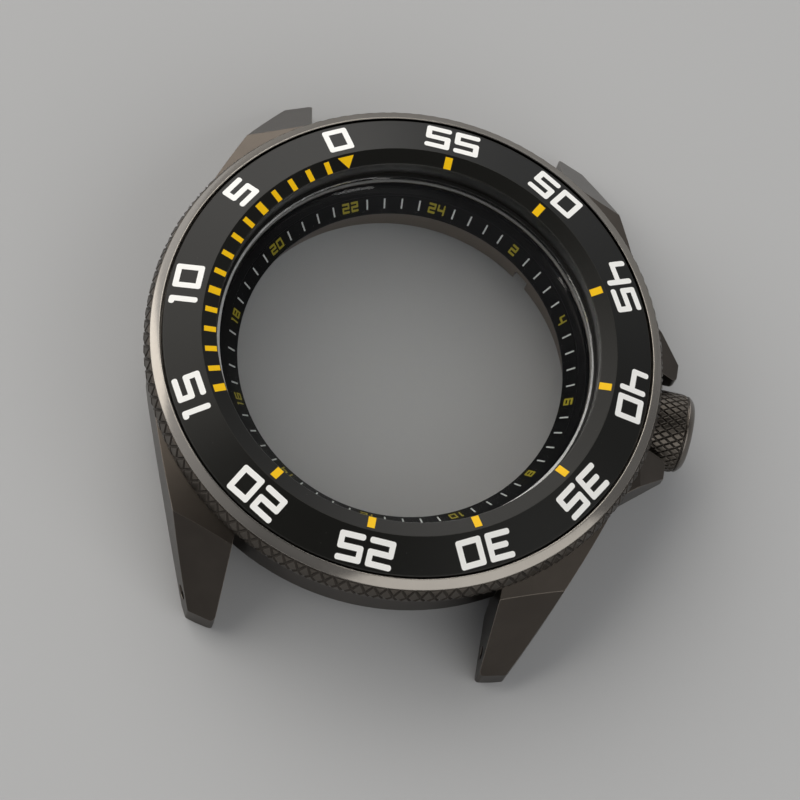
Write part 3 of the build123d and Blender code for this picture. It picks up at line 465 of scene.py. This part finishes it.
def anodised(name, colour, roughness):
    """Satin anodised aluminium: nearly matt, with a little dust."""
    material, tree, output = new_material(name)
    place = add_node(tree, "ShaderNodeTexCoord").outputs["Object"]
    grain = add_node(tree, "ShaderNodeTexNoise", {"Scale": 1 / (0.12 * MM), "Detail": 3.0},
                     Vector=place)
    grains = add_node(tree, "ShaderNodeTexVoronoi", {"Scale": 1 / (0.9 * MM)}, Vector=place)
    dots = add_node(tree, "ShaderNodeMapRange",
                    {"From Min": 0.028, "From Max": 0.018, "To Min": 0.0, "To Max": 0.55},
                    Value=grains.outputs["Distance"])
    dusty = add_node(tree, "ShaderNodeMix", {"data_type": "RGBA", 6: linear(colour),
                                             7: linear("#77756f")}, i0=dots.outputs["Result"])
    # the ridge between the bands is painted a little paler, as a painted highlight along the ridge
    soft = add_node(tree, "ShaderNodeBevel", {"samples": 6, "Radius": 0.07 * MM})
    flat = add_node(tree, "ShaderNodeNewGeometry").outputs["Normal"]
    turn = add_node(tree, "ShaderNodeVectorMath", {"operation": "DOT_PRODUCT"},
                    i0=soft.outputs["Normal"], i1=flat)
    wear_and_edge_highlight = add_node(tree, "ShaderNodeMapRange",
                    {"From Min": 0.995, "From Max": 0.95, "To Min": 0.0, "To Max": 0.45},
                    Value=turn.outputs["Value"])
    # pale colour on the ridge and edges: a painted highlight
    shade = add_node(tree, "ShaderNodeMix", {"data_type": "RGBA", 7: linear("#5f5d58")},
                     i0=wear_and_edge_highlight.outputs["Result"], i6=dusty.outputs[2])
    gloss = add_node(tree, "ShaderNodeMapRange",
                     {"To Min": roughness - 0.07, "To Max": roughness + 0.09},
                     Value=grain.outputs["Fac"])
    bump = add_node(tree, "ShaderNodeBump", {"Strength": 0.25, "Distance": 0.006 * MM},
                    Height=grain.outputs["Fac"], Normal=soft.outputs["Normal"])
    shader = add_node(tree, "ShaderNodeBsdfPrincipled",
                      {"IOR": 1.5, "Specular IOR Level": 0.27},
                      Base_Color=shade.outputs[2], Roughness=gloss.outputs["Result"],
                      Normal=bump.outputs["Normal"])
    tree.links.new(shader.outputs["BSDF"], output.inputs["Surface"])
    return material


dress("bezel_insert", anodised("anodised_black_aluminium", "#151513", 0.31))
dress("bezel_numerals", lacquer("white_filling_enamel", "#f8f8f5", 0.4, "#b9b9b4", 0.3))
dress("bezel_minute_marks", lacquer("yellow_filling_enamel", "#f4c20e", 0.4, "#a88416", 0.2))


# Crown tube, post, spring and seals
# The tube is pressed into the case and carries the crown's thread. Post, spring and bush
# sit inside the crown's pipe, and two rubber rings seal it.

dress("crown_tube", bright_metal("turned_steel_tube", "#9d9a95", 0.3, 0.1))
dress("crown_post", spring_steel)
dress("crown_spring", spring_steel)
dress("crown_bush", bright_metal("turned_brass", "#c9a766", 0.3, 0.1))
dress("crown_gasket", rubber)
dress("crown_o_ring", rubber)


# Crown
# The screw-down crown, turned from steel, diamond-knurled around its rim, chamfered at its
# end and coated dark grey. It screws onto the tube from outside.

CROWN_Z = 3.5                          # height of its axis
CROWN_CELLS = 32                       # diamonds around the rim, 0.66 mm apart
CROWN_ROWS = 6
CROWN_GROOVE = (0.085, 0.14)           # half width and depth of the grooves
CROWN_BACK = 21.25                     # distances from the case axis
CROWN_TAPER = 24.02
CROWN_RIM_END = 24.50
CROWN_RADII = (3.36, 3.30)             # of the rim, and of its tapered outer end
# distance from the case axis and radius: the end outside the rim, then the hollow side
CROWN_END = [(24.50, 3.16), (24.54, 3.10), (24.60, 3.10), (24.60, 3.22), (24.64, 3.26),
             (24.74, 3.25), (24.98, 3.06), (25.14, 2.88), (25.22, 2.70), (25.22, 0.0)]
CROWN_HOLLOW = [(21.25, 3.22), (21.25, 2.0), (23.2, 2.0), (23.2, 1.40), (21.64, 1.40),
                (21.64, 1.10), (21.3, 1.10), (21.3, 1.40), (20.4, 1.40), (20.4, 1.0),
                (24.7, 1.0), (24.7, 0.0)]


def on_rim(share, angle, depth):
    """A place on the bottom of the rim's grooves: along the crown and around it."""
    distance = CROWN_BACK + (CROWN_RIM_END - CROWN_BACK) * share
    taper = max(0, distance - CROWN_TAPER) / (CROWN_RIM_END - CROWN_TAPER)
    radius = CROWN_RADII[0] + (CROWN_RADII[1] - CROWN_RADII[0]) * taper - depth
    return distance * MM, -radius * sin(angle) * MM, (CROWN_Z + radius * cos(angle)) * MM


bm = bmesh.new()
groove_walls = knurled(bm, CROWN_CELLS, CROWN_ROWS, CROWN_GROOVE, on_rim,
                       (0, 0, CROWN_Z), (1, 0, 0))
grip_faces = set(bm.faces)
for section in (CROWN_END, CROWN_HOLLOW):
    spun(bm, [(x, CROWN_Z + radius) for x, radius in section], CROWN_CELLS * 2,
         (0, 0, CROWN_Z), (1, 0, 0))
coat(bm, grip_faces, groove_walls)
# its last colour is the edges' lighter paint: partly a rubbed coat, partly a painted highlight
crown_end_steel = brushed_steel("satin_pvd_steel", "#77726c", "#69645f", 0.22, "#a09890")
# the crown's grooves take the same painted shade
finished(bm, "crown_head_knurled", "crown_cap", "crown_head",
         [knurl_steel, crown_end_steel, groove_shade_steel])


# Floor, lights and camera
# A plain pale floor that the case stands on, two soft studio lights, a sky that is darker
# overhead and towards the front, and the camera at the photograph's angle.

FLOOR_REACH = 3.0                      # metres, from the case to each edge of the floor
LIGHTS_AIM = (0, 0, 0.005)             # metres, inside the case
BACK_WAY = (-0.6, 0.8, 0.0)            # level, to the back left as the camera sees it
CAMERA_PLACE = (-22.939, -113.000, 258.624)  # fitted to the photograph, as the next two are
CAMERA_TURN = (22.2555, -9.0651, 9.0205)  # degrees
CAMERA_LENS = 149.873                  # for a sensor 36 mm wide
CAMERA_SENSOR = 36.0

material, tree, output = new_material("pale_grey_floor")
shader = add_node(tree, "ShaderNodeBsdfPrincipled",
                  {"Base Color": linear("#b8b9ba"), "Roughness": 0.8,
                   "Specular IOR Level": 0.2})
tree.links.new(shader.outputs["BSDF"], output.inputs["Surface"])
bm = bmesh.new()
bmesh.ops.create_grid(bm, x_segments=1, y_segments=1, size=FLOOR_REACH)
bmesh.ops.translate(bm, vec=(0, 0, cad_box[0][2]), verts=bm.verts)
mesh = bpy.data.meshes.new("floor")
bm.to_mesh(mesh)
bm.free()
floor = bpy.data.objects.new("floor", mesh)
bpy.context.scene.collection.objects.link(floor)
mesh.materials.append(material)


def soft_light(name, place, aim, size, watts, colour):
    """A rectangular studio light that faces a point."""
    lamp = bpy.data.lights.new(name, "AREA")
    lamp.shape = "RECTANGLE"
    lamp.size, lamp.size_y = size
    lamp.energy = watts
    lamp.color = linear(colour)[:3]
    light = bpy.data.objects.new(name, lamp)
    light.location = place
    light.rotation_euler = (Vector(aim) - Vector(place)).to_track_quat("-Z", "Y").to_euler()
    bpy.context.scene.collection.objects.link(light)


soft_light("key_light", (-0.342, 0.287, 0.401), LIGHTS_AIM, (1.1, 0.6), 3.6, "#fffaf2")
soft_light("fill_light", (0.266, -0.276, 0.326), LIGHTS_AIM, (0.7, 0.45), 1.1, "#fdfcfa")

# the sky of a light tent: dark overhead, where the camera looks in, and lighter round it
world = bpy.data.worlds.new("studio")
bpy.context.scene.world = world
world.use_nodes = True
tree = world.node_tree
way = add_node(tree, "ShaderNodeTexCoord").outputs["Generated"]
up = add_node(tree, "ShaderNodeSeparateXYZ", Vector=way)
to_back = add_node(tree, "ShaderNodeVectorMath",
                   {"operation": "DOT_PRODUCT", 1: BACK_WAY}, i0=way)
rise = add_node(tree, "ShaderNodeMapRange",
                {"From Min": 0.55, "From Max": 0.9, "To Min": 1.0, "To Max": 0.02},
                Value=up.outputs["Z"])
side = add_node(tree, "ShaderNodeMapRange",
                {"From Min": -0.3, "From Max": 0.85, "To Min": 0.3, "To Max": 1.1},
                Value=to_back.outputs["Value"])
level = add_node(tree, "ShaderNodeMath", {"operation": "MULTIPLY"},
                 i0=rise.outputs["Result"], i1=side.outputs["Result"])
sky = tree.nodes["Background"]
sky.inputs["Color"].default_value = linear("#fbfcff")
tree.links.new(level.outputs["Value"], sky.inputs["Strength"])

camera_data = bpy.data.cameras.new("camera")
camera_data.lens = CAMERA_LENS
camera_data.sensor_width = CAMERA_SENSOR
camera_data.clip_start = 0.01
camera = bpy.data.objects.new("camera", camera_data)
camera.location = [place * MM for place in CAMERA_PLACE]
camera.rotation_euler = [radians(turn) for turn in CAMERA_TURN]
bpy.context.scene.collection.objects.link(camera)
bpy.context.scene.camera = camera
bpy.context.scene.view_settings.view_transform = "Standard"
